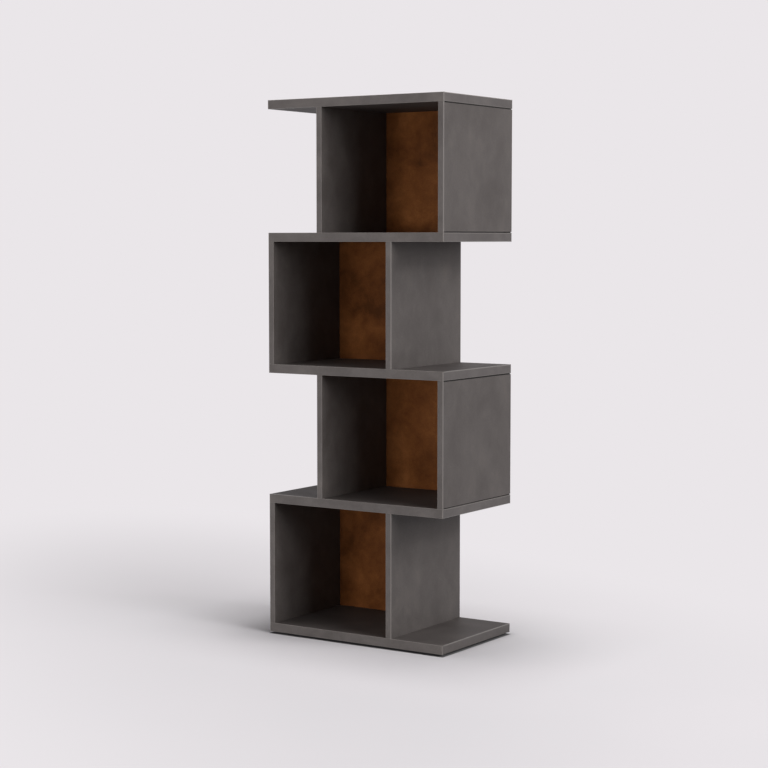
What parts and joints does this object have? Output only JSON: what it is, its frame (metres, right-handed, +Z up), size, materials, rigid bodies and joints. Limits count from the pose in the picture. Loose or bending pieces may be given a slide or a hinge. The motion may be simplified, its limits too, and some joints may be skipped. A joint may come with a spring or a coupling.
{
  "type": "zigzag bookshelf",
  "caption": "Tall zigzag bookshelf of open-front boxes set left and right by turns between full-width boards, with rust-brown backs and open ledges.",
  "frame": {"origin": "on the floor, under the middle of the full-width boards", "axes": "+Z up, open front of the boxes towards -Y, +X to the right as seen from the front"},
  "size_m": [0.58, 0.365, 1.511],
  "materials": {
    "grey_board": "matt concrete-look melamine facing on chipboard",
    "grey_edging": "matt plastic edging in the boards' grey",
    "rust_back": "matt rust-brown facing on thin board",
    "beech": "fluted raw beech",
    "black_foot": "moulded matt black plastic",
    "nail_steel": "bright drawn wire"
  },
  "bodies": {
    "root": {"bottom_board": "grey_board", "lower_shelf": "grey_board", "middle_shelf": "grey_board", "upper_shelf": "grey_board", "top_board": "grey_board", "tier_1_left_side": "grey_board", "tier_1_right_side": "grey_board", "tier_2_left_side": "grey_board", "tier_2_right_side": "grey_board", "tier_3_left_side": "grey_board", "tier_3_right_side": "grey_board", "tier_4_left_side": "grey_board", "tier_4_right_side": "grey_board", "bottom_board_long_edging": "grey_edging", "bottom_board_end_edging": "grey_edging", "lower_shelf_long_edging": "grey_edging", "lower_shelf_end_edging": "grey_edging", "middle_shelf_long_edging": "grey_edging", "middle_shelf_end_edging": "grey_edging", "upper_shelf_long_edging": "grey_edging", "upper_shelf_end_edging": "grey_edging", "top_board_long_edging": "grey_edging", "top_board_end_edging": "grey_edging", "tier_1_left_side_edging": "grey_edging", "tier_1_right_side_edging": "grey_edging", "tier_2_left_side_edging": "grey_edging", "tier_2_right_side_edging": "grey_edging", "tier_3_left_side_edging": "grey_edging", "tier_3_right_side_edging": "grey_edging", "tier_4_left_side_edging": "grey_edging", "tier_4_right_side_edging": "grey_edging", "tier_1_back": "rust_back", "tier_2_back": "rust_back", "tier_3_back": "rust_back", "tier_4_back": "rust_back", "tier_1_dowels": "beech", "tier_2_dowels": "beech", "tier_3_dowels": "beech", "tier_4_dowels": "beech", "front_left_glide": "black_foot", "front_right_glide": "black_foot", "rear_left_glide": "black_foot", "rear_right_glide": "black_foot", "glide_nails": "nail_steel"}
  },
  "joints": []
}
